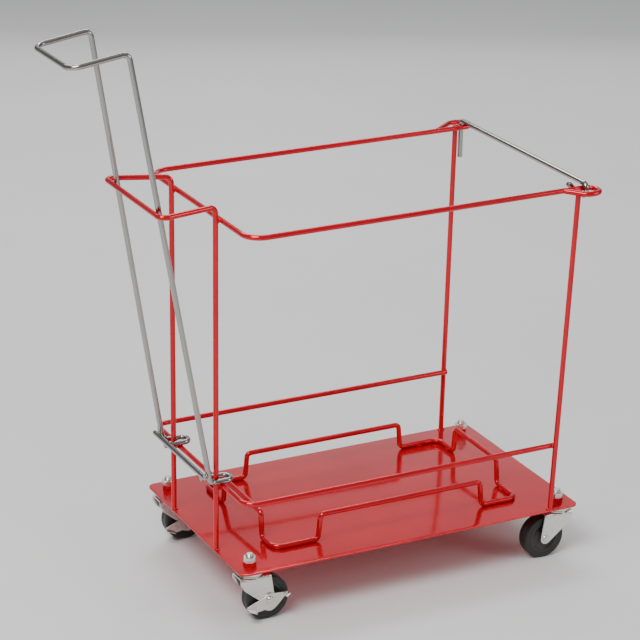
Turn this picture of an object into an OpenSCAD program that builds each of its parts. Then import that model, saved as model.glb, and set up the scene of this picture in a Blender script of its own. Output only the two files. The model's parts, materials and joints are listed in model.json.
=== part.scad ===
// Wire-frame container cart
//
// A flat steel deck on four swivel casters carries a bent-wire frame: a low cradle that
// locates the container, a waist rail and a top rim round it, and a push handle leaning on
// a loop behind. A wire gate bar lifts at the front to let the container in.
// +X is the front, +Y the left side, +Z up. The origin is on the floor, below the middle
// of the overall outline.

/* [Deck] */
// Length of the deck plate
deck_length = 640; // [620:5:680]
// Width of the deck plate
deck_width = 390; // [380:2:410]
// Thickness of the deck plate
deck_thickness = 3; // [2:0.5:5]
// Plan radius of the deck's corners
deck_corner = 14; // [8:1:30]

/* [Wire frame] */
// Diameter of the frame and handle wire
wire_d = 9; // [7:0.5:9.5]
// Height of the waist rail above the deck
waist_height = 116; // [105:1:140]
// Height of the top rim above the deck, at the front
rim_height = 573; // [480:1:620]
// Width of the top rim, centre to centre
rim_width = 386; // [370:2:390]
// Fall of the rim from front to rear
rim_fall = 4.5; // [0:0.5:8]
// Bend radius of the rim's rear corners
rim_bend = 30; // [20:1:50]
// Width of the rim's front rings, centre to centre
ring_pitch = 34; // [32:1:38]
// Rise of the rear loop above the rim
loop_rise = 18; // [14:1:30]
// Depth of the rear loop behind its uprights
loop_depth = 104.5; // [100:0.5:106]
// Spacing of the two rear uprights
hoop_spacing = 172; // [168:1:180]
// Lean of the front uprights towards the front
front_lean = 16; // [0:1:20]

/* [Cradle] */
// Length of the cradle wire, centre to centre
cradle_length = 464; // [420:2:480]
// Width of the cradle wire, centre to centre
cradle_width = 275; // [250:1:290]
// Height of the cradle's raised hoops, from the deck to the wire's top
cradle_height = 53; // [40:1:60]
// Length of the raised hoops on the long sides
side_hoop = 312; // [280:2:320]
// Length of the raised hoops on the short sides
end_hoop = 152; // [120:1:156]

/* [Handle] */
// Height of the grip above the deck
grip_height = 834; // [760:1:860]
// Reach of the arms from the legs back to the grip
grip_reach = 94.5; // [80:0.5:120]
// Length of the grip, centre to centre of the arms
grip_width = 152; // [140:1:160]

/* [Gate] */
// Length of the gate bar's locking pin, below the bar
pin_length = 67; // [40:1:70]

/* [Casters] */
// Wheel diameter
wheel_d = 76; // [74:0.5:78]
// Tread width
wheel_width = 24; // [20:1:26]
// Height from the floor to the underside of the deck
caster_height = 94; // [94:0.5:98]
// Offset of the axle behind the swivel
caster_trail = 28; // [26:1:32]
// Distance of the swivel studs from the deck's middle, lengthwise
stud_x = 292; // [285:1:296]
// Distance of the swivel studs from the deck's middle, sideways
stud_y = 165; // [160:1:168]

/* [Hidden] */

$fn = 64;
paint = [0.78, 0.03, 0.04];
nickel = [0.72, 0.71, 0.69];
zinc = [0.80, 0.79, 0.76];
black = [0.07, 0.07, 0.07];
core = [0.16, 0.15, 0.14];

// clearances
gap = 0.3;        // between parts that pass each other
run = 0.05;       // radial, shaft in a hole
touch = 0.02;     // between parts that rest on each other

// the bends are a hair thicker than the straights, which end just inside them
swell = 0.04;
lap = 0.4;

wire_r = wire_d / 2;
deck_top = caster_height + deck_thickness;

// rear uprights stand flush with the deck's rear edge; the rails' rear wires touch their front
hoop_x = -deck_length / 2 + wire_r;
hoop_y = hoop_spacing / 2;
hoop_bend = 12;
loop_z = rim_height + loop_rise;
loop_rear_x = hoop_x - loop_depth;
loop_rear_y = hoop_y + 29;
loop_rear_z = loop_z + 3;
rail_x = hoop_x + wire_d + touch;

// rim: its front ends turn outward and back to their own sides as flat rings
rim_y = rim_width / 2;
ring_bend = ring_pitch / 2 - 0.5;
ring_y = rim_y + ring_pitch;
ring_front_x = 311;
ring_knee_x = 282;
ring_tail_left = 240;
ring_tail_right = 258;

// front uprights end inside the rings, against the rim's outer side
upright_top = [280, rim_y + wire_d + 0.15, rim_height + 3];
upright_foot = [upright_top[0] - front_lean, deck_width / 2 - wire_r - 1, 0.25];
upright_at = function (z) upright_foot
    + (upright_top - upright_foot) * (z - upright_foot[2]) / (upright_top[2] - upright_foot[2]);

// waist rail: its front ends lie against the inner side of the front uprights
waist_end = upright_at(waist_height);
waist_y = waist_end[1] - wire_d - 0.05;
waist_bend = 22;

// handle legs lean back on the loop's rear wire; their hairpin feet lie on the waist rail
leg_x = function (z) leg_slope * (loop_rear_z - z) + loop_rear_x + wire_d + gap + 0.15;
leg_slope = 0.1706;
foot_z = waist_height + wire_d + gap;
foot_y = hoop_y + wire_d + 2;
foot_pitch = 23;
foot_front_x = rail_x + 16;
arm_rise = 15;
arm_z = grip_height + arm_rise;
grip_x = leg_x(arm_z) - grip_reach;
cross_z = waist_height + 23;

// gate bar: hinged round the right ring's inner leg
gate_x = 293;
gate_z = rim_height + wire_d + gap;
pin_y = rim_y + 12;
hook_drop = 11;

// the overall outline runs from the grip to the deck's front edge
deck_x = -(grip_x - wire_r + deck_length / 2) / 2;

// caster
wheel_r = wheel_d / 2;
axle_r = 4;
bushing_r = 6;
core_r = 27;
stud_r = 6.25;
stud_top = 22;      // above the deck
weld_nut_h = 8;
stud_nut_h = 9;
nut_r = 11;
race_r = 23;
race_z = caster_height - 6;
crown_z = caster_height - 11;
crown_t = 3;
fork_in = wheel_width / 2 + 2.5;
fork_t = 2.5;
fork_out = fork_in + fork_t;
ball_r = 2.4;
ball_circle_r = 17;
ball_count = 14;
lever_t = 2;
lever_in = fork_out + 0.4;
lever_out = lever_in + lever_t;

function unit(v) = v / norm(v);
function turn(a, b) = acos(max(-1, min(1, unit(a) * unit(b))));
// radius of the bend at point i: one for the whole wire, or a list with one for each point
function bend_at(r, i) = is_list(r) ? r[i] : r;
// length of straight that the bend at point i takes up
function setback(p, r, i) = (i <= 0 || i >= len(p) - 1) ? 0
    : bend_at(r, i) * tan(turn(p[i] - p[i - 1], p[i + 1] - p[i]) / 2) - lap;
function mirrored(p) = [for (i = [len(p) - 1:-1:0]) [p[i][0], -p[i][1], p[i][2]]];

// places its child's X, Y and Z along three unit vectors at a point
module aim(x, y, z, at) {
    multmatrix([for (i = [0:2]) [x[i], y[i], z[i], at[i]]]) children();
}

module rod(a, b, d) {
    z = unit(b - a);
    x = abs(z[2]) > 0.999 ? unit([z[2], 0, -z[0]]) : unit(cross([0, 0, 1], z));
    aim(x, cross(z, x), z, a) cylinder(h = norm(b - a), d = d);
}

module elbow(p0, p1, p2, r, d) {
    u = unit(p1 - p0);
    v = unit(p2 - p1);
    a = turn(u, v);
    n = unit(v - (u * v) * u);
    aim(-n, u, cross(-n, u), p1 - u * r * tan(a / 2) + n * r)
        rotate_extrude(angle = a) translate([r, 0]) circle(d = d);
}

// a round wire bent along a list of points
module wire(p, r, d = wire_d) {
    for (i = [0:len(p) - 2]) {
        s = unit(p[i + 1] - p[i]);
        rod(p[i] + s * setback(p, r, i), p[i + 1] - s * setback(p, r, i + 1), d);
    }
    for (i = [1:1:len(p) - 2]) elbow(p[i - 1], p[i], p[i + 1], bend_at(r, i), d + swell);
}

module at_deck() translate([deck_x, 0, deck_top]) children();

module rounded_rectangle(l, w, r) {
    square([l - 2 * r, w], center = true);
    square([l, w - 2 * r], center = true);
    for (x = [-1, 1], y = [-1, 1]) translate([x * (l / 2 - r), y * (w / 2 - r)]) circle(r = r);
}

module base_plate() color(paint) at_deck() translate([0, 0, -deck_thickness])
    linear_extrude(deck_thickness) difference() {
        rounded_rectangle(deck_length, deck_width, deck_corner);
        for (x = [-1, 1], y = [-1, 1]) translate([x * stud_x, y * stud_y]) circle(r = stud_r + gap);
    }

module rear_hoop() color(paint) at_deck() {
    side = [[hoop_x, hoop_y, touch], [hoop_x, hoop_y, loop_z], [loop_rear_x, loop_rear_y, loop_rear_z]];
    wire(concat(side, mirrored(side)), hoop_bend);
}

// a point of the rim, which falls evenly towards the rear
function on_rim(x, y) = [x, y, rim_height - rim_fall * (ring_front_x - x) / (ring_front_x - rail_x)];
function rim_side(tail_x) = [
    on_rim(tail_x, rim_y + 1), on_rim(ring_knee_x, ring_y), on_rim(ring_front_x, ring_y),
    on_rim(ring_front_x, rim_y), on_rim(rail_x, rim_y)];

module top_rim() color(paint) at_deck()
    wire(concat(rim_side(ring_tail_left), mirrored(rim_side(ring_tail_right))),
         [0, ring_bend, ring_bend, ring_bend, rim_bend, rim_bend, ring_bend, ring_bend, ring_bend, 0]);

module waist_rail() color(paint) at_deck() {
    side = [[waist_end[0] + 1, waist_y, waist_height], [rail_x, waist_y, waist_height]];
    wire(concat(side, mirrored(side)), waist_bend);
}

module front_upright(side) color(paint) at_deck()
    rod([upright_foot[0], side * upright_foot[1], upright_foot[2]],
        [upright_top[0], side * upright_top[1], upright_top[2]], wire_d);

module front_upright_left() front_upright(1);
module front_upright_right() front_upright(-1);

// one side of the cradle: along the deck, up over a hoop and down again
function hoop_side(from, along, start, l, h, slope) = [
    for (q = [[start, 0], [start + slope, h], [start + l - slope, h], [start + l, 0]])
        [from[0] + along[0] * q[0], from[1] + along[1] * q[0], wire_r + touch + q[1]]];

module container_cradle() color(paint) at_deck() {
    l = cradle_length / 2;
    w = cradle_width / 2;
    y0 = 5.5;                     // the cradle sits a little to the left
    off = [-1.5, -11, -5, -9.5];  // how far each hoop sits from the middle of its side, along the wire
    slope = 4;
    bends = [for (i = [0:3]) each [8, 8, 8, 8, 17]];
    h = cradle_height - wire_d;
    z = wire_r + touch;
    seam = [[-0.87 * l, y0 + w, z]];
    left_hoop = side_hoop - 4;
    p = concat(
        seam,
        hoop_side([0, y0 + w], [1, 0], off[0] - left_hoop / 2, left_hoop, h, slope),
        [[l, y0 + w, z]],
        hoop_side([l, 0], [0, -1], off[1] - end_hoop / 2, end_hoop, h, slope),
        [[l, y0 - w, z]],
        hoop_side([0, y0 - w], [-1, 0], off[2] - side_hoop / 2, side_hoop, h, slope),
        [[-l, y0 - w, z]],
        hoop_side([-l, 0], [0, 1], off[3] - end_hoop / 2, end_hoop, h, slope),
        [[-l, y0 + w, z]],
        seam);
    wire(p, concat([0], bends, [0]));
}

module push_handle() color(nickel) at_deck() {
    foot = [leg_x(foot_z), foot_y, foot_z];
    elbow_y = grip_width / 2 + 1.7;
    bends = [0, 11, 11, 11, 11, 20];
    side = [[foot[0] - 7, foot_y - foot_pitch, foot_z], [foot_front_x, foot_y - foot_pitch, foot_z],
            [foot_front_x, foot_y, foot_z], foot, [leg_x(arm_z), elbow_y, arm_z],
            [grip_x, grip_width / 2, grip_height]];
    wire(concat(side, mirrored(side)), concat(bends, [for (i = [len(bends) - 1:-1:0]) bends[i]]));
}

module handle_cross_wire() color(nickel) at_deck() {
    x = leg_x(cross_z) - wire_d - 0.15;
    rod([x, foot_y + 6, cross_z], [x, -foot_y - 6, cross_z], wire_d);
}

// the hook passes down through the ring and under the rim; its tip leans back on the inner side
module gate_bar() color(nickel) at_deck() {
    hook_z = rim_height - hook_drop;
    wire([[gate_x - 21, -rim_y + hook_drop + 1, gate_z - 2], [gate_x - 2, -rim_y + hook_drop + 1, hook_z],
          [gate_x, -rim_y - hook_drop, hook_z], [gate_x, -rim_y - hook_drop, gate_z],
          [gate_x, pin_y, gate_z], [gate_x, pin_y, gate_z - pin_length]], 8);
}

// places its child on a caster's swivel axis, trailing to the rear in front and to the front behind
module on_caster(end, side) translate([deck_x + end * stud_x, side * stud_y, 0])
    rotate(end < 0 ? 180 : 0) children();

// places its child on a wheel's axle, with Z along the axle and towards the cart's left side
module on_axle(end, side)
    translate([deck_x + end * (stud_x - caster_trail), side * stud_y, wheel_r])
        rotate([-90, 0, 0]) children();

module ring(r_out, r_in, h) rotate_extrude() translate([r_in, 0]) square([r_out - r_in, h]);

// swivel stud: a head under the fork's crown, then up through the race, the deck and its nut
module caster_studs() color(zinc) for (end = [-1, 1], side = [-1, 1]) on_caster(end, side) {
    head_t = 4;
    head_top = crown_z - crown_t - gap;
    translate([0, 0, head_top - head_t]) cylinder(h = head_t, r = 10);
    translate([0, 0, head_top - 1]) cylinder(h = deck_top + stud_top + 1 - head_top, r = stud_r);
}

module nut(h, r, bore_r) difference() {
    cylinder(h = h, r = r, $fn = 6);
    translate([0, 0, -1]) cylinder(h = h + 2, r = bore_r);
}

// each stud passes through a nut welded to the deck and painted with it, then a lock nut
module weld_nuts() color(paint) for (end = [-1, 1], side = [-1, 1]) on_caster(end, side)
    translate([0, 0, deck_top]) nut(weld_nut_h, nut_r, stud_r + touch);

module stud_nuts() color(zinc) for (end = [-1, 1], side = [-1, 1]) on_caster(end, side)
    translate([0, 0, deck_top + weld_nut_h]) nut(stud_nut_h, nut_r, stud_r + touch);

module upper_races() color(zinc) for (end = [-1, 1], side = [-1, 1]) on_caster(end, side)
    rotate_extrude()
        polygon([[stud_r + touch, race_z + 0.5], [race_r - 1.8, race_z + 0.5], [race_r - 1.8, race_z - 1],
                 [race_r, race_z - 1], [race_r, race_z + 4], [race_r - 2, caster_height],
                 [stud_r + touch, caster_height]]);

// fork: a crown plate with two legs tapering to the axle
module fork(end, side) color(zinc) on_caster(end, side) {
    eye_r = 10;
    front_x = 23;
    eye = [-caster_trail, wheel_r];
    shoulder = [3, 50];
    front = atan2(shoulder[1] - eye[1], shoulder[0] - eye[0]) - acos(eye_r / norm(shoulder - eye));
    back_top = [-caster_trail - 3, crown_z];
    back = atan2(back_top[1] - eye[1], back_top[0] - eye[0]) + acos(eye_r / norm(back_top - eye));
    difference() {
        union() {
            for (s = [-1, 1]) translate([0, s * (fork_in + fork_t / 2), 0]) rotate([90, 0, 0])
                linear_extrude(fork_t, center = true) difference() {
                    union() {
                        polygon([back_top, [front_x, crown_z], [front_x, crown_z - 10], [16, crown_z - 22],
                                 shoulder, eye + eye_r * [cos(front), sin(front)], eye,
                                 eye + eye_r * [cos(back), sin(back)]]);
                        translate(eye) circle(r = eye_r);
                    }
                    translate(eye) circle(r = axle_r + touch);
                }
            translate([0, 0, crown_z - crown_t]) {
                translate([back_top[0], -fork_out, 0]) cube([front_x - back_top[0], 2 * fork_out, crown_t]);
                cylinder(h = crown_t, r = race_r);
            }
        }
        translate([0, 0, crown_z - crown_t - 1]) cylinder(h = crown_t + 2, r = stud_r + run);
    }
}

// lower raceway, with its balls in the groove
module ball_race(end, side) color(zinc) on_caster(end, side) {
    ball_z = race_z + 0.5 - gap - ball_r;
    translate([0, 0, crown_z]) difference() {
        ring(race_r - 2.5, ball_circle_r - 5, 2.2);
        translate([0, 0, ball_z - crown_z]) rotate_extrude()
            translate([ball_circle_r, 0]) circle(r = ball_r + touch);
    }
    for (i = [0:ball_count - 1]) rotate(i * 360 / ball_count) translate([ball_circle_r, 0, ball_z])
        sphere(r = ball_r, $fn = 24);
}

// axle bolt: its domed head is on the cart's right side, outside the brake lever where there is one
module axle_bolt(end, side) color(zinc) on_axle(end, side) {
    z0 = -(end < 0 ? lever_out + gap : fork_out + touch);
    rotate_extrude()
        polygon([[0, z0 - 3.6], [3, z0 - 3.4], [5.2, z0 - 2.4], [6.5, z0 - 0.8], [6.5, z0],
                 [axle_r, z0], [axle_r, fork_out + 8], [0, fork_out + 8]]);
}

module axle_nut(end, side) color(zinc) on_axle(end, side)
    translate([0, 0, fork_out + touch]) nut(6.5, 7.5, axle_r + touch);

module tyre(end, side) color(black) on_axle(end, side) {
    w = wheel_width / 2;
    rotate_extrude($fn = 128)
        polygon([[core_r + touch, -w], [wheel_r - 2.5, -w], [wheel_r - 0.6, -w + 1], [wheel_r, -w + 2.5],
                 [wheel_r, w - 2.5], [wheel_r - 0.6, w - 1], [wheel_r - 2.5, w], [core_r + touch, w]]);
}

module hub(end, side) color(core) on_axle(end, side) {
    w = wheel_width / 2 - 0.5;
    web = w - 2.5;
    boss_r = 11;
    rotate_extrude()
        polygon([[bushing_r + touch, -w - 1], [boss_r, -w - 1], [boss_r, -web], [core_r - 4, -web],
                 [core_r - 3, -w], [core_r, -w], [core_r, w], [core_r - 3, w], [core_r - 4, web],
                 [boss_r, web], [boss_r, w + 1], [bushing_r + touch, w + 1]]);
}

module bushing(end, side) color(nickel) on_axle(end, side)
    translate([0, 0, -fork_in + gap]) ring(bushing_r, axle_r + run, 2 * (fork_in - gap));

// brake lever: a stamped rocker on the axle with a foot tread turned out at each end
module brake_lever(end, side) color(zinc) on_axle(end, side) rotate([90, 0, 0]) {
    boss_r = 11.5;
    tread = 6.5;
    translate([0, -lever_in, 0]) rotate([90, 0, 0]) linear_extrude(lever_t) difference() {
        union() {
            circle(r = boss_r);
            polygon([[-42, -10], [-38, -6], [-25, 0], [-15, 3.5], [-9, 6], [11, 11], [28, 8.5], [35, 8.5],
                     [26.5, 2], [16, -10], [3, -20], [-11, -17], [-22, -18.5], [-32, -14]]);
        }
        circle(r = axle_r + run);
        translate([15, 3]) circle(r = 1.6);
    }
    translate([-42, -lever_out - tread, -10]) rotate([0, 23, 0]) cube([18, lever_t + tread, 2]);
    translate([27, -lever_out - tread, 2]) rotate([0, -37.5, 0]) cube([9, lever_t + tread, 2]);
}

module fork_rear_left() fork(-1, 1);
module fork_rear_right() fork(-1, -1);
module fork_front_left() fork(1, 1);
module fork_front_right() fork(1, -1);
module ball_race_rear_left() ball_race(-1, 1);
module ball_race_rear_right() ball_race(-1, -1);
module ball_race_front_left() ball_race(1, 1);
module ball_race_front_right() ball_race(1, -1);
module axle_bolt_rear_left() axle_bolt(-1, 1);
module axle_bolt_rear_right() axle_bolt(-1, -1);
module axle_bolt_front_left() axle_bolt(1, 1);
module axle_bolt_front_right() axle_bolt(1, -1);
module axle_nut_rear_left() axle_nut(-1, 1);
module axle_nut_rear_right() axle_nut(-1, -1);
module axle_nut_front_left() axle_nut(1, 1);
module axle_nut_front_right() axle_nut(1, -1);
module tyre_rear_left() tyre(-1, 1);
module tyre_rear_right() tyre(-1, -1);
module tyre_front_left() tyre(1, 1);
module tyre_front_right() tyre(1, -1);
module hub_rear_left() hub(-1, 1);
module hub_rear_right() hub(-1, -1);
module hub_front_left() hub(1, 1);
module hub_front_right() hub(1, -1);
module bushing_rear_left() bushing(-1, 1);
module bushing_rear_right() bushing(-1, -1);
module bushing_front_left() bushing(1, 1);
module bushing_front_right() bushing(1, -1);
module brake_lever_rear_left() brake_lever(-1, 1);
module brake_lever_rear_right() brake_lever(-1, -1);

base_plate();
rear_hoop();
top_rim();
waist_rail();
front_upright_left();
front_upright_right();
container_cradle();
caster_studs();
weld_nuts();
stud_nuts();
upper_races();
push_handle();
handle_cross_wire();
gate_bar();
fork_rear_left();
fork_rear_right();
fork_front_left();
fork_front_right();
ball_race_rear_left();
ball_race_rear_right();
ball_race_front_left();
ball_race_front_right();
axle_bolt_rear_left();
axle_bolt_rear_right();
axle_bolt_front_left();
axle_bolt_front_right();
axle_nut_rear_left();
axle_nut_rear_right();
axle_nut_front_left();
axle_nut_front_right();
tyre_rear_left();
tyre_rear_right();
tyre_front_left();
tyre_front_right();
hub_rear_left();
hub_rear_right();
hub_front_left();
hub_front_right();
bushing_rear_left();
bushing_rear_right();
bushing_front_left();
bushing_front_right();
brake_lever_rear_left();
brake_lever_rear_right();
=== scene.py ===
import json
import math

import bmesh
import bpy
from mathutils import Matrix, Vector, noise


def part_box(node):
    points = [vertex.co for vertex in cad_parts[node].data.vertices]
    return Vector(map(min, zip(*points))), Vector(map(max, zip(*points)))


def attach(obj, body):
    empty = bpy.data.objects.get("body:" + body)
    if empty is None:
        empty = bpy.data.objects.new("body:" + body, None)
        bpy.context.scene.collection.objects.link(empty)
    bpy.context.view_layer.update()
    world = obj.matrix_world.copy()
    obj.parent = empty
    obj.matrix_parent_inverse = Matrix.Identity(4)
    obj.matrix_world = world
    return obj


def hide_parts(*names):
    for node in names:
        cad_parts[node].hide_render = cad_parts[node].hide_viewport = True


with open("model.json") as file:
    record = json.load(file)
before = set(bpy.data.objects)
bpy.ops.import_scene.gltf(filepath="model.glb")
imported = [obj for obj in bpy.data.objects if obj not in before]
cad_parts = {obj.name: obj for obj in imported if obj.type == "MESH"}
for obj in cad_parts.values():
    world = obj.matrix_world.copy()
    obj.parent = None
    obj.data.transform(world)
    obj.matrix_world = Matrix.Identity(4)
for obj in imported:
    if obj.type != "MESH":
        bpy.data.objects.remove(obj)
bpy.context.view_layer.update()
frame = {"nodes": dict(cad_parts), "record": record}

MM = 0.001
CORNERS = ("rear_left", "rear_right", "front_left", "front_right")


def box(node):
    lo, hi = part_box(node)
    return Vector(lo), Vector(hi)


deck_lo, deck_hi = box("base_plate")
# points of the wire frame are in millimetres from the middle of the deck's top face
DECK = Vector(((deck_lo.x + deck_hi.x) / 2, (deck_lo.y + deck_hi.y) / 2, deck_hi.z))


def at_deck(p):
    return DECK + Vector(p) * MM


# ---------------------------------------------------------------- materials

def new_material(name):
    m = bpy.data.materials.new(name)
    m.use_nodes = True
    t = m.node_tree
    t.nodes.clear()
    out = t.nodes.new("ShaderNodeOutputMaterial")
    b = t.nodes.new("ShaderNodeBsdfPrincipled")
    t.links.new(b.outputs[0], out.inputs[0])
    return m, t, b


def noise_node(t, scale, detail, rough=0.5, along_wire=False):
    """A noise in the object's own space, or streaks that run along a wire by its UV map."""
    n = t.nodes.new("ShaderNodeTexNoise")
    n.inputs["Scale"].default_value = scale
    n.inputs["Detail"].default_value = detail
    n.inputs["Roughness"].default_value = rough
    place = t.nodes.new("ShaderNodeTexCoord")
    if along_wire:
        stretch = t.nodes.new("ShaderNodeMapping")
        stretch.inputs["Scale"].default_value = (12, 90, 1)
        t.links.new(place.outputs["UV"], stretch.inputs["Vector"])
        t.links.new(stretch.outputs[0], n.inputs["Vector"])
    else:
        t.links.new(place.outputs["Object"], n.inputs["Vector"])
    return n.outputs["Fac"]


def ramp(t, src, stops):
    r = t.nodes.new("ShaderNodeValToRGB")
    elements = r.color_ramp.elements
    while len(elements) < len(stops):
        elements.new(0.5)
    for k, (position, colour) in enumerate(stops):
        elements[k].position = position
        elements[k].color = (*colour, 1)
    t.links.new(src, r.inputs[0])
    return r.outputs[0]


def remap(t, src, lo, hi):
    """Spreads the middle of a noise's range over lo to hi."""
    m = t.nodes.new("ShaderNodeMapRange")
    m.inputs["From Min"].default_value = 0.3
    m.inputs["From Max"].default_value = 0.7
    m.inputs["To Min"].default_value = lo
    m.inputs["To Max"].default_value = hi
    t.links.new(src, m.inputs["Value"])
    return m.outputs[0]


def bump(t, b, src, strength, distance):
    n = t.nodes.new("ShaderNodeBump")
    n.inputs["Strength"].default_value = strength
    n.inputs["Distance"].default_value = distance
    t.links.new(src, n.inputs["Height"])
    t.links.new(n.outputs[0], b.inputs["Normal"])


def surface(name, mottle, stops, roughness, grain, relief, gloss=None, values=None):
    """A material whose colour and roughness follow a mottling noise, or gloss for the roughness, with a
    grain noise in relief."""
    m, t, b = new_material(name)
    mottled = noise_node(t, *mottle)
    t.links.new(ramp(t, mottled, stops), b.inputs["Base Color"])
    glossy = noise_node(t, *gloss) if gloss else mottled
    t.links.new(remap(t, glossy, *roughness), b.inputs["Roughness"])
    bump(t, b, noise_node(t, *grain), *relief)
    for socket, value in (values or {}).items():
        b.inputs[socket].default_value = value
    return m


def red_coat():
    """Gloss red powder coat with a slight orange peel."""
    return surface("red_powder_coat", (9, 4), [(0.3, (0.57, 0.0040, 0.0140)), (0.7, (0.67, 0.0060, 0.0190))],
                   (0.10, 0.16), (420, 2, 0.4), (0.10, 0.0003), gloss=(60, 2),
                   values={"Metallic": 0.45, "Coat Weight": 0.25, "Coat Roughness": 0.03, "IOR": 1.42})


def bright_wire():
    """Plated wire with faint drawing streaks."""
    stops = [(0.25, (0.27, 0.26, 0.25)), (0.6, (0.44, 0.43, 0.41)), (0.8, (0.55, 0.54, 0.52))]
    return surface("bright_plated_wire", (1, 4, 0.6, True), stops, (0.10, 0.20), (900, 3), (0.08, 0.0001),
                   values={"Metallic": 1.0})


def zinc():
    """Cloudy zinc plate on stamped and turned steel."""
    stops = [(0.3, (0.688, 0.6665, 0.6278)), (0.7, (0.80, 0.775, 0.73))]
    return surface("zinc_plate", (90, 5, 0.6), stops, (0.24, 0.38), (1400, 3), (0.10, 0.0001),
                   values={"Metallic": 1.0})


def rubber():
    stops = [(0.3, (0.014, 0.0135, 0.013)), (0.7, (0.024, 0.023, 0.022))]
    return surface("black_rubber", (60, 5, 0.6), stops, (0.42, 0.60), (1800, 3), (0.25, 0.0001))


def core_plastic():
    stops = [(0.3, (0.020, 0.018, 0.017)), (0.7, (0.034, 0.031, 0.029))]
    return surface("dark_wheel_core", (45, 4), stops, (0.30, 0.44), (1300, 2), (0.15, 0.0001))


SLOTS = {"red_paint": red_coat(), "bright_wire": bright_wire(), "zinc": zinc(), "tyre": rubber(),
         "wheel_core": core_plastic()}


# ---------------------------------------------------------------- mesh helpers

def add(name, bm, body, slot, sharp=35.0, nodes=()):
    """Turns a bmesh, in metres, into a piece that rides on a body and stands for the named CAD nodes."""
    bmesh.ops.recalc_face_normals(bm, faces=bm.faces)
    me = bpy.data.meshes.new(name)
    bm.to_mesh(me)
    bm.free()
    for p in me.polygons:
        p.use_smooth = True
    me.set_sharp_from_angle(angle=math.radians(sharp))
    me.materials.append(SLOTS[slot])
    o = bpy.data.objects.new(name, me)
    bpy.context.scene.collection.objects.link(o)
    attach(o, body)
    if nodes:
        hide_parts(*nodes)
    return o


WIRE_R = 4.5
WIRE_SIDES = 24
CUT_END_R = 0.8       # rounding of a wire's cut ends
BEND_STEP = 5.0       # degrees between points round a bend
RING_PITCH = 40.0     # between points along a straight stretch, which start BEND_CLEAR from its bends
BEND_CLEAR = 1.5


def rounded(points, bend, closed=False):
    """A polyline with its corners rounded to one radius or a list of them, and points along its straights."""
    pts = [Vector(p) for p in points]
    n = len(pts)
    out = [] if closed else [pts[0]]
    for i in (range(n) if closed else range(1, n - 1)):
        a, b, c = pts[i - 1], pts[i], pts[(i + 1) % n]
        u, v = (b - a).normalized(), (c - b).normalized()
        turn = u.angle(v)
        r = bend[i] if isinstance(bend, list) else bend
        side = (v - u * u.dot(v)).normalized()
        centre = b - u * r * math.tan(turn / 2) + side * r
        m = max(3, round(math.degrees(turn) / BEND_STEP))
        angles = [turn * k / m for k in range(m + 1)]
        out += [centre + r * (u * math.sin(q) - side * math.cos(q)) for q in angles]
    if not closed:
        out.append(pts[-1])
    fine = []
    for i, p in enumerate(out):
        fine.append(p)
        if i + 1 == len(out) and not closed:
            break
        q = out[(i + 1) % len(out)]
        d = (q - p).length
        if d > 4 * BEND_CLEAR:
            span = d - 2 * BEND_CLEAR
            k = max(1, round(span / RING_PITCH))
            fine += [p.lerp(q, (BEND_CLEAR + span * j / k) / d) for j in range(k + 1)]
    return fine


def wire_sections(path, closed):
    """Each section's centre, its two cross directions and its radius, without twist along the wire."""
    n = len(path)
    tangents = []
    for i in range(n):
        before = path[i - 1] if closed or i > 0 else path[i]
        after = path[(i + 1) % n] if closed or i < n - 1 else path[i]
        tangents.append((after - before).normalized())
    x = tangents[0].cross(Vector((0, 0, 1)) if abs(tangents[0].z) < 0.9 else Vector((1, 0, 0)))
    sections = []
    for p, t in zip(path, tangents):
        x = (x - t * x.dot(t)).normalized()
        sections.append((p, x, t.cross(x).normalized(), WIRE_R))

    def turned(section, angle):
        p, x, y, r = section
        return p, x * math.cos(angle) + y * math.sin(angle), y * math.cos(angle) - x * math.sin(angle), r

    def cut_end(section, inward, degrees):
        p, x, y, r = section
        return [(p + inward * CUT_END_R * (1 - math.sin(q)), x, y, r - CUT_END_R * (1 - math.cos(q)))
                for q in map(math.radians, degrees)]
    if closed:                            # the twist left at the seam is spread along the wire
        t, last = tangents[-1], sections[-1][1]
        first = (sections[0][1] - t * sections[0][1].dot(t)).normalized()
        twist = math.atan2(last.cross(first).dot(t), last.dot(first))
        return [turned(section, twist * i / n) for i, section in enumerate(sections)]
    return (cut_end(sections[0], tangents[0], (90, 60, 30, 0)) + sections[1:-1]
            + cut_end(sections[-1], -tangents[-1], (0, 30, 60, 90)))


def sweep(bm, path, closed=False):
    """A round wire along a path, in millimetres, with a UV map: metres along the wire, and once round it."""
    uv = bm.loops.layers.uv.verify()
    sections = wire_sections(path, closed)
    angles = [2 * math.pi * k / WIRE_SIDES for k in range(WIRE_SIDES)]
    rings, along = [], [0.0]
    for i, (p, x, y, r) in enumerate(sections):
        if i:
            along.append(along[-1] + (p - sections[i - 1][0]).length * MM)
        rings.append([bm.verts.new(at_deck(p + r * (x * math.cos(a) + y * math.sin(a)))) for a in angles])
    if closed:
        along.append(along[-1] + (sections[0][0] - sections[-1][0]).length * MM)
        rings.append(rings[0])
    for i in range(len(rings) - 1):
        u0, u1 = along[i], along[i + 1]
        for k in range(WIRE_SIDES):
            k2 = (k + 1) % WIRE_SIDES
            f = bm.faces.new((rings[i][k], rings[i][k2], rings[i + 1][k2], rings[i + 1][k]))
            for loop, (u, v) in zip(f.loops, ((u0, k), (u0, k + 1), (u1, k + 1), (u1, k))):
                loop[uv].uv = (u, v / WIRE_SIDES)
    if not closed:
        bm.faces.new(rings[0][::-1])
        bm.faces.new(rings[-1])
    return bm


def wire(name, body, slot, points, bend, nodes, closed=False):
    bm = sweep(bmesh.new(), rounded(points, bend, closed), closed)
    return add(name, bm, body, slot, nodes=nodes)


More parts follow.
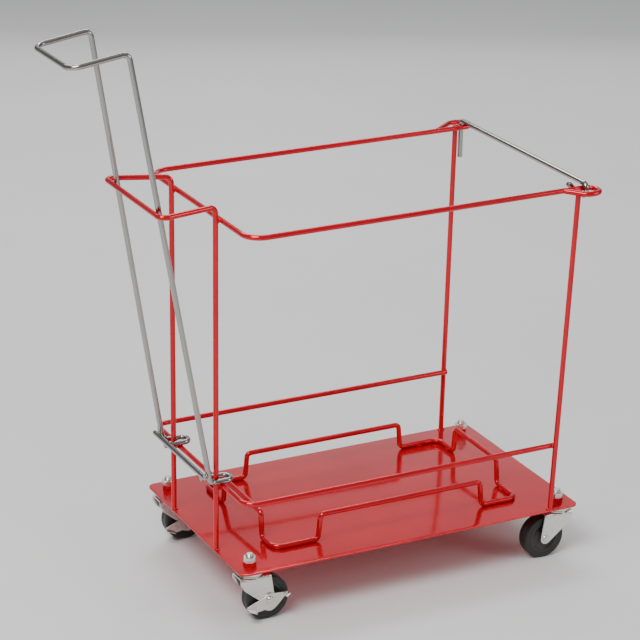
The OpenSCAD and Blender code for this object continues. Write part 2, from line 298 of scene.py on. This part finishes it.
def lathe(bm, profile, segs, place, radius=None):
    """A solid of revolution about Z from (radius, height) points in millimetres; radius(angle, r, z) may
    shape it. A profile that ends where it starts leaves a hole along the axis."""
    closed = profile[0] == profile[-1]
    rings = []
    for r, z in (profile[:-1] if closed else profile):
        if r < 1e-6:
            rings.append([bm.verts.new(place(Vector((0, 0, z))))])
            continue
        ring = []
        for k in range(segs):
            a = 2 * math.pi * k / segs
            at_a = radius(a, r, z) if radius else r
            ring.append(bm.verts.new(place(Vector((at_a * math.cos(a), at_a * math.sin(a), z)))))
        rings.append(ring)
    if closed:
        rings.append(rings[0])
    for a, b in zip(rings, rings[1:]):
        for k in range(segs):
            k2 = (k + 1) % segs
            if len(a) == 1:
                bm.faces.new((a[0], b[k], b[k2]))
            elif len(b) == 1:
                bm.faces.new((a[k], b[0], a[k2]))
            else:
                bm.faces.new((a[k], b[k], b[k2], a[k2]))
    return bm


def arc(cx, cz, r, a0, a1, n):
    """Points of an arc in a (radius, height) profile."""
    angles = [math.radians(a0 + (a1 - a0) * k / n) for k in range(n + 1)]
    return [(cx + r * math.cos(a), cz + r * math.sin(a)) for a in angles]


def blob(bm, at, size, seed):
    """A small weld bead: an uneven ellipsoid."""
    unevenness = 0.16
    for v in bmesh.ops.create_icosphere(bm, subdivisions=3, radius=1.0)["verts"]:
        n = noise.noise(v.co * 1.7 + Vector((seed * 3.1, seed * 1.7, seed)))
        v.co *= 1 + unevenness * n
        v.co = at_deck(Vector(at) + Vector((v.co.x * size[0], v.co.y * size[1], v.co.z * size[2])))


def mirrored(points):
    return [(x, -y, z) for x, y, z in reversed(points)]


# ---------------------------------------------------------------- deck

DECK_CORNER = 14.0
DECK_EDGE = 0.7       # rounding of the sheet's edges


def outline(length, width, inset):
    """The deck's outline with rounded corners, set in by a small distance."""
    pts = []
    for cx, cy, a0 in ((1, 1, 0), (-1, 1, 90), (-1, -1, 180), (1, -1, 270)):
        for a in [math.radians(a0 + 9 * k) for k in range(11)]:
            pts.append((cx * (length / 2 - DECK_CORNER) + (DECK_CORNER - inset) * math.cos(a),
                        cy * (width / 2 - DECK_CORNER) + (DECK_CORNER - inset) * math.sin(a)))
    return pts


def make_deck():
    length, width, thick = (deck_hi - deck_lo) / MM
    bm = bmesh.new()
    angles = [math.radians(a) for a in (90, 67, 45, 22, 0)]
    edge = [(DECK_EDGE * (1 - math.cos(a)), -DECK_EDGE * (1 - math.sin(a))) for a in angles]
    rings = []
    for inset, z in edge + [(i, -thick - z) for i, z in reversed(edge)]:
        rings.append([bm.verts.new(at_deck((x, y, z))) for x, y in outline(length, width, inset)])
    for a, b in zip(rings, rings[1:]):
        for k in range(len(a)):
            k2 = (k + 1) % len(a)
            bm.faces.new((a[k], b[k], b[k2], a[k2]))
    bm.faces.new(rings[0])
    bm.faces.new(rings[-1][::-1])
    add("deck", bm, "frame", "red_paint", sharp=18, nodes=("base_plate",))


make_deck()

# ---------------------------------------------------------------- wire frame

# rear hoop: two uprights and the loop that reaches back round the handle
hoop_x, hoop_y = -315.5, 86.0
loop_x, loop_y, loop_z, loop_back_z = -420.0, 115.0, 591.0, 594.0
hoop_side = [(hoop_x, hoop_y, 0.02), (hoop_x, hoop_y, loop_z), (loop_x, loop_y, loop_back_z)]
wire("rear_hoop_wire", "frame", "red_paint", hoop_side + mirrored(hoop_side), 12, ("rear_hoop",))

# top rim: it falls a little from its front rings to its rear corners
rail_x, rim_y, rim_z, rim_fall = -306.48, 193.0, 573.0, 4.5
ring_x, ring_y, ring_knee_x, ring_bend = 311.0, 227.0, 282.0, 16.5
ring_tail = {1: 240.0, -1: 258.0}     # where each ring's tail ends, left and right


def on_rim(x, y):
    return x, y, rim_z - rim_fall * (ring_x - x) / (ring_x - rail_x)


def rim_path():
    """The left ring, the left side, two wide rear corners, the right side and the right ring."""
    def curl(s):
        pts = [(ring_tail[s], rim_y + 2.5), (ring_knee_x, ring_y), (ring_x, ring_y), (ring_x, rim_y),
               (0, rim_y)]
        return rounded([on_rim(x, s * y) for x, y in pts], ring_bend)[:-1]
    back = [on_rim(0, rim_y), on_rim(rail_x, rim_y), on_rim(rail_x, -rim_y), on_rim(0, -rim_y)]
    return curl(1) + rounded(back, 30) + curl(-1)[::-1]


add("top_rim_wire", sweep(bmesh.new(), rim_path()), "frame", "red_paint", nodes=("top_rim",))

# front uprights
up_top, up_foot = Vector((280.0, rim_y + 9.15, 576.0)), Vector((264.0, 189.5, 0.25))
for s, label in ((1, "left"), (-1, "right")):
    upright = [(p.x, s * p.y, p.z) for p in (up_foot, up_top)]
    wire("front_upright_%s_wire" % label, "frame", "red_paint", upright, 0, ("front_upright_" + label,))

# waist rail, on the inner side of the front uprights
waist_z = 116.0
up_waist = up_foot.lerp(up_top, (waist_z - up_foot.z) / (up_top.z - up_foot.z))
waist_y = up_waist.y - 9.05
waist_side = [(up_waist.x + 1, waist_y, waist_z), (rail_x, waist_y, waist_z)]
wire("waist_rail_wire", "frame", "red_paint", waist_side + mirrored(waist_side), 22, ("waist_rail",))

# container cradle: one closed wire with a raised hoop on each side
half_l, half_w, cradle_y, cradle_z = 232.0, 137.5, 5.5, WIRE_R + 0.02
hoop_rise, hoop_slope, hoop_bend, cradle_bend = 44.0, 4.0, 8, 17
left_y, right_y = cradle_y + half_w, cradle_y - half_w


def raised(origin, along, start, length):
    """A raised hoop on one side of the cradle: up from start and down again after its length."""
    stops = ((start, 0), (start + hoop_slope, hoop_rise),
             (start + length - hoop_slope, hoop_rise), (start + length, 0))
    return [(origin[0] + along[0] * q, origin[1] + along[1] * q, cradle_z + h) for q, h in stops]


cradle = (raised((0, left_y), (1, 0), -155.5, 308) + [(half_l, left_y, cradle_z)]
          + raised((half_l, 0), (0, -1), -87, 152) + [(half_l, right_y, cradle_z)]
          + raised((0, right_y), (-1, 0), -161, 312) + [(-half_l, right_y, cradle_z)]
          + raised((-half_l, 0), (0, 1), -85.5, 152) + [(-half_l, left_y, cradle_z)])
wire("container_cradle_wire", "frame", "red_paint", cradle, ([hoop_bend] * 4 + [cradle_bend]) * 4,
     ("container_cradle",), closed=True)

# ---------------------------------------------------------------- handle and gate bar


def leg_x(z):
    """The legs lean on the rear hoop's loop, from inside."""
    return 0.1706 * (loop_back_z - z) + loop_x + 9.45


# one side of the handle: the hairpin round the rear upright, the leg, the arm and half of the grip
foot_z, foot_y, hairpin_x, hairpin_pitch = 125.3, 97.0, rail_x + 16, 23
arm_z, arm_y, grip_z, grip_y = 849.0, 77.7, 834.0, 76.0
grip_x = leg_x(arm_z) - 94.5
handle_side = [(leg_x(foot_z) - 7, foot_y - hairpin_pitch, foot_z),
               (hairpin_x, foot_y - hairpin_pitch, foot_z),
               (hairpin_x, foot_y, foot_z), (leg_x(foot_z), foot_y, foot_z),
               (leg_x(arm_z), arm_y, arm_z), (grip_x, grip_y, grip_z)]
bends = [0, 11, 11, 11, 11, 20]
wire("push_handle_wire", "handle", "bright_wire", handle_side + mirrored(handle_side), bends + bends[::-1],
     ("push_handle",))
cross = Vector((leg_x(139) - 9.15, 103.0, 139.0))
wire("handle_cross_wire_bar", "handle", "bright_wire", [tuple(cross), (cross.x, -cross.y, cross.z)], 0,
     ("handle_cross_wire",))

# gate bar: its hook is in the right ring and its pin in the left one
gate_x, gate_z, hook_z, pin_z = 293.0, 582.3, 562, 515.3
hook_y, hook_tip_y, pin_y = -204, -181, 205
wire("gate_bar_wire", "gate", "bright_wire",
     [(gate_x - 21, hook_tip_y, gate_z - 2), (gate_x - 2, hook_tip_y, hook_z), (gate_x, hook_y, hook_z),
      (gate_x, hook_y, gate_z), (gate_x, pin_y, gate_z), (gate_x, pin_y, pin_z)], 8, ("gate_bar",))

# ---------------------------------------------------------------- weld beads

bm = bmesh.new()
seed = 1
contact_x = (hoop_x + rail_x) / 2
for s in (1, -1):
    # bead centres and half sizes: rim and waist rail on the hoop and the upright, ring tail, two feet
    spots = [
        ((contact_x, s * hoop_y, on_rim(contact_x, 0)[2]), (2.4, 5.0, 5.0)),
        ((contact_x, s * hoop_y, waist_z), (2.4, 5.0, 5.0)),
        ((up_top.x, s * (rim_y + 4.6), rim_z), (5.0, 2.4, 4.8)),
        ((up_waist.x, s * (up_waist.y - 4.5), waist_z), (4.8, 2.2, 4.8)),
        ((ring_tail[s] + 1, s * (rim_y + 3.6), rim_z - 0.4), (5.5, 3.0, 4.4)),
        ((hoop_x + 1, s * hoop_y, 0.4), (5.4, 7.0, 2.4)),
        ((up_foot.x, s * (up_foot.y - 0.6), 0.4), (7.0, 5.4, 2.4)),
    ]
    for at, size in spots:
        blob(bm, at, size, seed)
        seed += 1
# tacks that hold the cradle's low stretches to the deck, on their inner side
for x, y in ((-190, left_y), (190, left_y), (200, right_y), (-190, right_y)):
    blob(bm, (x, y + math.copysign(3.5, -y), 1.2), (6.0, 2.2, 1.9), seed)
    seed += 1
for x, y in ((half_l, 105), (half_l, -85), (-half_l, 100), (-half_l, -108)):
    blob(bm, (x + math.copysign(3.5, -x), y, 1.2), (2.2, 6.0, 1.9), seed)
    seed += 1
add("weld_beads", bm, "frame", "red_paint", sharp=60)

bm = bmesh.new()
for s in (1, -1):
    blob(bm, (cross.x + 4.55, s * 96.6, 139.6), (1.7, 3.6, 3.8), seed)
    seed += 1
add("handle_weld_beads", bm, "handle", "bright_wire", sharp=60)

# ---------------------------------------------------------------- casters

# heights above the floor, and sizes round the swivel and the axle
DECK_TOP = 97.0
CROWN = 83.0          # top of the fork
TRAIL = 28.0          # from the swivel back to the axle
AXLE_Z = 38.0
AXLE_R = 4.0
STUD_R = 6.25
NUT_FLAT = 9.5        # half the width across flats of the nuts on the deck
WELD_NUT_H = 8.0
LOCK_NUT_H = 9.0
FORK_OUT = 17.0       # outer face of a fork leg, from the wheel's middle
LEVER_OUT = 19.7      # the axle bolt's head bears here, outside a brake lever


def hex_nut(bm, flat, h, bore, place):
    """A hexagon nut with chamfered corners and a countersunk bore; flat is half its width across flats."""
    def shaped(a, r, z):
        if r < flat:
            return r
        to_flat = a % (math.pi / 3) - math.pi / 6
        return min(flat / math.cos(to_flat), flat + 1.75 * (max(0.0, min(z, h - z)) + 0.05))
    steps = [0, 0.25, 0.5, 0.75, 1.0, 1.4]
    outside = [(flat, z) for z in steps + [h - z for z in reversed(steps)]]
    inside = [(1.16 * bore, h), (1.0251 * bore, h - 0.9), (1.0251 * bore, 0.9), (1.16 * bore, 0)]
    return lathe(bm, outside + inside + outside[:1], 96, place, shaped)


def thread(z0, z1, r, pitch=1.6, depth=0.7):
    """A profile of thread crests from z0 up to z1, with a chamfered end."""
    plain_end = 1.6
    pts, z = [], z0
    while z < z1 - plain_end:
        pts += [(r - depth, z), (r, z + pitch * 0.45), (r, z + pitch * 0.55)]
        z += pitch
    return pts + [(r - depth, z), (r - 0.2, z1 - 1.0), (r - 1.3, z1), (0, z1)]


def fork_mesh(place):
    """The middle surface of a stamped fork: a crown with rounded shoulders and two legs down to the axle."""
    eye, eye_r = Vector((-TRAIL, AXLE_Z)), 10.0
    y_mid, top, bend = 15.75, CROWN - 1.25, 4.5
    shoulder, back_top = Vector((3.0, 50.0)), Vector((-31.0, CROWN))

    def tangent(p, sign):
        d = p - eye
        a = math.atan2(d.y, d.x) + sign * math.acos(eye_r / d.length)
        return eye + eye_r * Vector((math.cos(a), math.sin(a)))
    front = [(23, CROWN), (23, CROWN - 10), (16, CROWN - 22), tuple(shoulder), tuple(tangent(shoulder, -1))]
    back = [tuple(back_top), tuple(tangent(back_top, 1))]

    def edge(line, z, s):
        """Where a leg's edge is at a height: on the line from the crown down, or round the axle's eye."""
        if z <= line[-1][1]:
            return eye.x + s * math.sqrt(max(0.0, eye_r ** 2 - (z - eye.y) ** 2))
        for (x0, z0), (x1, z1) in zip(line, line[1:]):
            if z1 <= z <= z0:
                return x0 + (x1 - x0) * (z0 - z) / (z0 - z1) if z0 > z1 else x0
        return line[0][0]
    leg = [eye.y - eye_r * math.cos(math.radians(a)) for a in (9, 18, 30, 42, 54, 66, 78, 90)]
    leg += [41, 44, 47, 50, 53, 56, 59, 61, 64, 68, 73, top - bend]
    # each row is its Y, its height and the height at which the outline gives its two ends
    rows = [(-y_mid, z, z) for z in leg]
    for a in [math.radians(15 * k) for k in range(1, 7)]:
        z = top - bend + bend * math.sin(a)
        rows.append((-y_mid + bend * (1 - math.cos(a)), z, z))
    rows.append((0, top, CROWN))
    rows += [(-y, z, h) for y, z, h in reversed(rows[:-1])]
    bm = bmesh.new()
    cols, grid = 12, []
    for y, z, h in rows:
        x0, x1 = edge(back, h, -1), edge(front, h, 1)
        xs = [x0 + (x1 - x0) * k / cols for k in range(cols + 1)]
        grid.append([bm.verts.new(place(Vector((x, y, z)))) for x in xs])
    for a, b in zip(grid, grid[1:]):
        for k in range(cols):
            bm.faces.new((a[k], a[k + 1], b[k + 1], b[k]))
    return bm


def modify(o, *mods):
    """Applies modifiers to a piece, so that its mesh is final."""
    for kind, values in mods:
        m = o.modifiers.new(kind, kind)
        for key, value in values.items():
            setattr(m, key, value)
    me = bpy.data.meshes.new_from_object(o.evaluated_get(bpy.context.evaluated_depsgraph_get()))
    o.modifiers.clear()
    o.data = me


def soft_edges(width):
    return "BEVEL", {"width": width * MM, "segments": 2, "limit_method": "ANGLE",
                     "angle_limit": math.radians(50)}


def wheel_places(corner):
    """Which way a caster points, its axle's middle and the foot of its swivel axis."""
    end = -1 if "rear" in corner else 1
    lo, hi = box("tyre_" + corner)
    axle = (lo + hi) / 2
    return end, axle, Vector((axle.x + end * TRAIL * MM, axle.y, 0))


def make_caster(corner):
    end, axle, swivel = wheel_places(corner)
    caster, wheel = "caster_" + corner, "wheel_" + corner

    def on_swivel(p):
        return swivel + Vector((end * p.x, end * p.y, p.z)) * MM

    def on_axle(p):                       # profile Z towards the cart's left
        return axle + Vector((p.x, p.z, -p.y)) * MM

    # fork
    o = add("fork_sheet_" + corner, fork_mesh(on_swivel), caster, "zinc", nodes=("fork_" + corner,))
    modify(o, ("SOLIDIFY", {"thickness": 2.5 * MM, "offset": 0.0, "use_even_offset": True}), soft_edges(0.45))
    dish = ([(6.3, CROWN - 3), (22.2, CROWN - 3)] + arc(22.2, CROWN - 2.2, 0.8, -90, 0, 3)
            + arc(21.6, CROWN - 1.4, 1.4, 0, 90, 4) + [(6.3, CROWN), (6.3, CROWN - 3)])
    add("crown_dish_" + corner, lathe(bmesh.new(), dish, 64, on_swivel), caster, "zinc")

    # axle: domed head on the right, nut on the left
    lever = end < 0
    z0 = -LEVER_OUT if lever else -FORK_OUT - 0.02
    head = [(0, z0 - 3.6), (2.2, z0 - 3.55), (4.0, z0 - 3.1), (5.3, z0 - 2.3), (6.1, z0 - 1.3),
            (6.45, z0 - 0.5), (6.5, z0 - 0.1), (6.4, z0)]
    bolt = head + [(AXLE_R, z0), (AXLE_R, FORK_OUT - 2)] + thread(FORK_OUT, FORK_OUT + 8, AXLE_R, 1.1, 0.45)
    add("axle_bolt_turned_" + corner, lathe(bmesh.new(), bolt, 48, on_axle), caster, "zinc",
        nodes=("axle_bolt_" + corner,))
    nut = hex_nut(bmesh.new(), 6.5, 6.5, AXLE_R, lambda p: on_axle(p + Vector((0, 0, FORK_OUT + 0.02))))
    add("axle_nut_hex_" + corner, nut, caster, "zinc", nodes=("axle_nut_" + corner,))

    # tyre with rounded shoulders and a fine moulding line
    half = ([(27.05, 11.2), (28.2, 11.9), (31.0, 12.0), (31.6, 11.7), (32.2, 12.0)]
            + arc(34.2, 8.2, 3.8, 90, 0, 8) + [(38.0, 0.6), (37.85, 0.25)])
    tread = [(r, -z) for r, z in half] + half[::-1]
    add("tyre_moulded_" + corner, lathe(bmesh.new(), tread + tread[:1], 128, on_axle), wheel, "tyre",
        nodes=("tyre_" + corner,))

    # core: dished web between the rim and the boss
    half = [(6.02, 12.5), (9.8, 12.5), (10.8, 11.8), (11.6, 9.6), (13.2, 8.6),
            (20.6, 8.6), (22.2, 9.4), (23.2, 11.2), (24.0, 11.5), (27.0, 11.5)]
    web = half + [(r, -z) for r, z in reversed(half)]
    add("wheel_core_moulded_" + corner, lathe(bmesh.new(), web + web[:1], 96, on_axle), wheel, "wheel_core",
        nodes=("hub_" + corner,))

    if lever:
        make_lever(corner, axle)


# outline of the brake lever's plate, along the cart and up from the axle
LEVER = [(-42, -10), (-40.5, -7), (-38, -5.5), (-25, 0), (-15, 3.5), (-9, 7.2), (-5, 10.4), (0, 11.5),
         (5, 10.9), (11, 10.2), (20, 9.2), (28, 8.5), (33, 8.9), (35, 7.8), (34, 6.2), (30.5, 4.2),
         (26.5, 1), (21, -5), (16, -10.5), (10, -16), (6, -19), (2, -20), (-4, -19), (-8, -17.2),
         (-11, -16.8), (-16, -17.8), (-22, -18.5), (-28, -16.6), (-34, -13.6)]


def make_lever(corner, axle):
    """A stamped rocker: a plate outside the fork, with a foot tread turned out at each end."""
    y_in, y_out = -17.4, -19.4

    def vert(p):
        return bm.verts.new(axle + p * MM)
    bm = bmesh.new()
    inner, outer = [[vert(Vector((x, y, z))) for x, z in LEVER] for y in (y_in, y_out)]
    for k in range(len(LEVER)):
        k2 = (k + 1) % len(LEVER)
        bm.faces.new((inner[k], inner[k2], outer[k2], outer[k]))
    bm.faces.new(inner[::-1])
    bm.faces.new(outer)
    for (x0, z0), (x1, z1) in (((-42, -9.6), (-25, -17.2)), ((27.0, 2.2), (34.4, 7.6))):
        u = Vector((x1 - x0, 0, z1 - z0)).normalized()
        up = Vector((-u.z, 0, u.x))
        rings = []
        for y, lift in ((y_in, 0.0), (y_out - 0.6, 0.0), (y_out - 4.6, -0.6), (y_out - 6.4, -1.6)):
            a, b = Vector((x0, y, z0)) + up * lift, Vector((x1, y, z1)) + up * lift
            rings.append([vert(p) for p in (a, b, b + up * 1.9, a + up * 1.9)])
        for a, b in zip(rings, rings[1:]):
            for k in range(4):
                bm.faces.new((a[k], a[(k + 1) % 4], b[(k + 1) % 4], b[k]))
        bm.faces.new(rings[0][::-1])
        bm.faces.new(rings[-1])
    o = add("brake_lever_stamped_" + corner, bm, "brake_" + corner, "zinc", nodes=("brake_lever_" + corner,))
    modify(o, soft_edges(0.5))


def make_studs():
    """The studs, their weld nuts and lock nuts and the upper races, which are part of the frame."""
    studs, welds, nuts, races = (bmesh.new() for _ in range(4))
    head, race = CROWN - 7.3, CROWN + 5.5
    stud = [(0, head), (8.8, head), (9.8, head + 0.6), (10, head + 1.5), (10, head + 4), (STUD_R, head + 4),
            (STUD_R, DECK_TOP + 16.8)] + thread(DECK_TOP + 17.1, DECK_TOP + 22, STUD_R)
    cup = [(6.3, race), (21.2, race), (21.2, race - 1.2), (21.7, race - 1.5), (22.5, race - 1.5),
           (23.0, race - 1.0), (23.0, race + 2.9), (22.4, race + 4.3), (20.8, race + 5.3),
           (19.6, race + 5.47), (6.3, race + 5.47), (6.3, race)]
    for corner in CORNERS:
        end, axle, swivel = wheel_places(corner)
        turn = (0.35 if end < 0 else 0.1) + axle.y * 2    # no two nuts are tightened to the same angle

        def here(p):
            return swivel + p * MM

        def turned(z, angle):
            q = Matrix.Rotation(angle, 3, "Z")
            return lambda p: here(q @ p + Vector((0, 0, DECK_TOP + z)))
        lathe(studs, stud, 48, here)
        hex_nut(welds, NUT_FLAT, WELD_NUT_H, STUD_R, turned(0.0, turn + 0.5))
        hex_nut(nuts, NUT_FLAT, LOCK_NUT_H, STUD_R, turned(WELD_NUT_H, turn))
        lathe(races, cup, 64, here)
    add("swivel_studs", studs, "frame", "zinc", nodes=("caster_studs",))
    add("weld_nuts_hex", welds, "frame", "red_paint", nodes=("weld_nuts",))
    add("stud_nuts_hex", nuts, "frame", "zinc", nodes=("stud_nuts",))
    add("swivel_races", races, "frame", "zinc", nodes=("upper_races",))


for corner in CORNERS:
    make_caster(corner)
make_studs()

# CAD nodes that stay as they are get their finish here
slot_of = {s["node"]: s["material_slot"] for s in frame["record"]["subparts"]}
for name, o in frame["nodes"].items():
    if o.type == "MESH":
        o.data.materials.clear()
        o.data.materials.append(SLOTS[slot_of[name]])

# ---------------------------------------------------------------- stage, light, camera

bpy.ops.mesh.primitive_plane_add(size=40, location=(0, 0, 0))
floor = bpy.context.object
floor.name = "floor"
pale, t, b = new_material("pale_floor")
stops = [(0.3, (0.80, 0.80, 0.79)), (0.7, (0.84, 0.84, 0.83))]
t.links.new(ramp(t, noise_node(t, 1.5, 4), stops), b.inputs["Base Color"])
b.inputs["Roughness"].default_value = 0.65
floor.data.materials.append(pale)

world = bpy.data.worlds.new("studio")
bpy.context.scene.world = world
world.use_nodes = True
t = world.node_tree
split = t.nodes.new("ShaderNodeSeparateXYZ")
t.links.new(t.nodes.new("ShaderNodeTexCoord").outputs["Generated"], split.inputs[0])
stops = [(0.0, (0.34, 0.345, 0.355)), (0.45, (0.50, 0.51, 0.52)), (1.0, (0.95, 0.96, 0.98))]
background = t.nodes["Background"]
t.links.new(ramp(t, split.outputs["Z"], stops), background.inputs[0])
background.inputs[1].default_value = 0.5


def area(name, at, size, power, target=(0, 0, 0.4)):
    d = bpy.data.lights.new(name, "AREA")
    d.shape = "RECTANGLE"
    d.size, d.size_y = size
    d.energy = power
    o = bpy.data.objects.new(name, d)
    bpy.context.scene.collection.objects.link(o)
    o.location = at
    o.rotation_mode = "QUATERNION"
    o.rotation_quaternion = (Vector(target) - Vector(at)).to_track_quat("-Z", "Y")


area("key", (-2.0, -1.4, 3.4), (1.8, 1.8), 125)
area("fill", (2.8, -2.6, 1.8), (1.6, 1.2), 28)
area("back", (0.8, 2.6, 3.2), (2.6, 1.2), 60)
area("card", (1.5, 2.9, 1.25), (4.0, 2.0), 12, target=(0.1, 0, 0.1))    # mirrored in the gloss of the deck

# the camera: its direction, roll, distance and aim, in the row frame
AZ, EL, ROLL, DIST = math.radians(27.102), math.radians(20.794), math.radians(0.829), 4.0593
look = Vector((math.sin(AZ) * math.cos(EL), math.cos(AZ) * math.cos(EL), -math.sin(EL)))
right = Vector((math.cos(AZ), -math.sin(AZ), 0))
up = right.cross(look)
right, up = right * math.cos(ROLL) + up * math.sin(ROLL), up * math.cos(ROLL) - right * math.sin(ROLL)
cam_data = bpy.data.cameras.new("camera")
cam_data.sensor_width = 36.0
cam_data.lens = 137.17
cam_data.clip_start, cam_data.clip_end = 0.1, 50
cam = bpy.data.objects.new("camera", cam_data)
bpy.context.scene.collection.objects.link(cam)
cam.matrix_world = Matrix((right, up, -look)).transposed().to_4x4()
cam.location = at_deck((-85.83, -0.15, 336.33)) - look * DIST
bpy.context.scene.camera = cam
